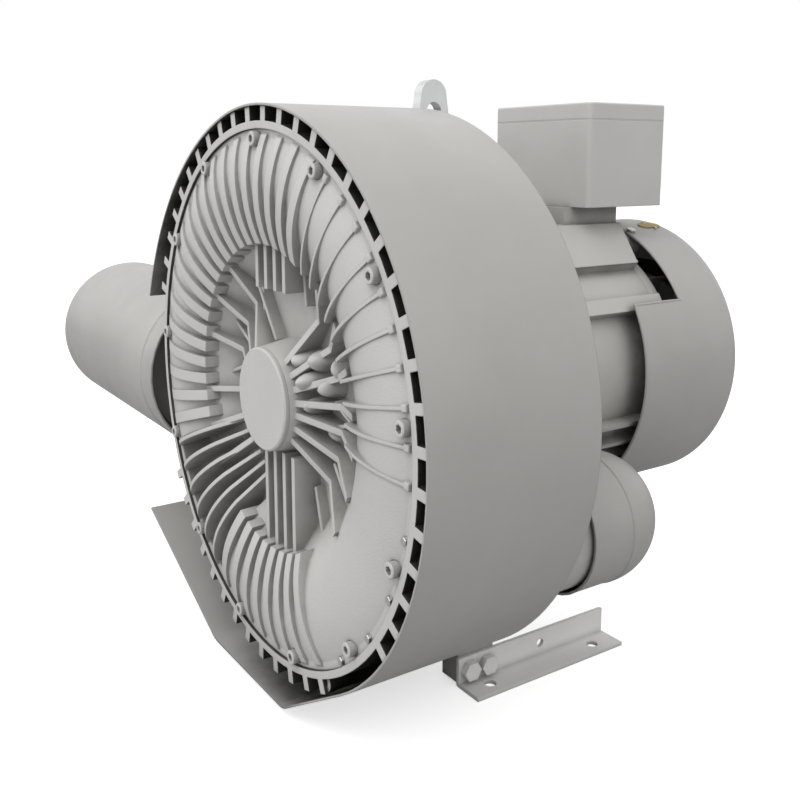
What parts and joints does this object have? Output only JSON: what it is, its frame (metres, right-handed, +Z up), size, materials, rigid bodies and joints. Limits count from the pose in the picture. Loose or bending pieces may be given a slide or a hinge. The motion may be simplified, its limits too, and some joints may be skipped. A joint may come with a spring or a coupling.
{
  "type": "side channel blower",
  "caption": "Two-stage side channel blower with finned casing, curved sheet shroud, two round silencers, electric motor, terminal box, lifting eye and foot rails.",
  "frame": {"origin": "on the floor, midway between the four mounting holes of the foot rails", "axes": "+Z up, +Y along the shaft from the finned cover to the motor, -X towards the inlet silencer"},
  "size_m": [0.9576, 0.5096, 0.593],
  "materials": {
    "casing_paint": "painted, satin",
    "shroud_paint": "satin",
    "box_paint": "satin",
    "rail_steel": "satin",
    "cast_aluminium": "satin",
    "shaft_steel": "satin",
    "bearing_steel": "polished",
    "core_steel": "matte",
    "copper": "varnished",
    "seal_rubber": "matte",
    "foam": "matte",
    "zinc_screws": "zinc plated",
    "eye_steel": "zinc plated",
    "black_plastic": "matte",
    "yellow_plate": "matte"
  },
  "bodies": {
    "frame": {"blank_plate": "yellow_plate", "box_gasket": "seal_rubber", "box_lid": "box_paint", "cable_glands": "black_plastic", "casing_bolts": "zinc_screws", "cowl_screws": "zinc_screws", "drive_bearing_outer": "bearing_steel", "fan_cowl": "shroud_paint", "foot_bolts": "zinc_screws", "foot_rail_left": "rail_steel", "foot_rail_right": "rail_steel", "front_bearing_outer": "bearing_steel", "front_cover": "casing_paint", "front_shield": "casing_paint", "hub_cap": "casing_paint", "inlet_bolts": "zinc_screws", "inlet_foam": "foam", "inlet_silencer": "shroud_paint", "inlet_tube": "shaft_steel", "lid_screws": "zinc_screws", "lifting_eye": "eye_steel", "middle_housing": "casing_paint", "motor_frame": "casing_paint", "outlet_bolts": "zinc_screws", "outlet_foam": "foam", "outlet_silencer": "shroud_paint", "outlet_tube": "shaft_steel", "rear_bearing_outer": "bearing_steel", "rear_housing": "casing_paint", "rear_shield": "casing_paint", "shaft_seals": "seal_rubber", "shield_bolts": "zinc_screws", "shroud": "shroud_paint", "shroud_screws": "zinc_screws", "stator_core": "core_steel", "stator_windings": "copper", "terminal_board": "black_plastic", "terminal_box": "box_paint"},
    "rotor": {"motor_shaft": "shaft_steel", "front_impeller": "cast_aluminium", "rear_impeller": "cast_aluminium", "impeller_spacer": "shaft_steel", "front_sleeve": "shaft_steel", "impeller_key": "shaft_steel", "shaft_nut": "shaft_steel", "rotor_core": "core_steel", "front_bearing_inner": "bearing_steel", "drive_bearing_inner": "bearing_steel", "rear_bearing_inner": "bearing_steel", "cooling_fan": "cast_aluminium", "fan_clip": "shaft_steel"},
    "front_balls": {"front_bearing_balls": "bearing_steel"},
    "drive_balls": {"drive_bearing_balls": "bearing_steel"},
    "rear_balls": {"rear_bearing_balls": "bearing_steel"}
  },
  "joints": [
    {"name": "rotor_spin", "type": "hinge", "parent": "frame", "child": "rotor", "pos_m": [0, -0.265, 0.3], "axis": [0, 1, 0], "continuous": true},
    {"name": "front_balls_roll", "type": "hinge", "parent": "frame", "child": "front_balls", "pos_m": [0, -0.265, 0.3], "axis": [0, 1, 0], "continuous": true},
    {"name": "drive_balls_roll", "type": "hinge", "parent": "frame", "child": "drive_balls", "pos_m": [0, -0.265, 0.3], "axis": [0, 1, 0], "continuous": true},
    {"name": "rear_balls_roll", "type": "hinge", "parent": "frame", "child": "rear_balls", "pos_m": [0, -0.265, 0.3], "axis": [0, 1, 0], "continuous": true}
  ],
  "couplings": [
    {"joint": "front_balls_roll", "follows": "rotor_spin", "ratio": 0.3765},
    {"joint": "drive_balls_roll", "follows": "rotor_spin", "ratio": 0.3875},
    {"joint": "rear_balls_roll", "follows": "rotor_spin", "ratio": 0.4077}
  ]
}
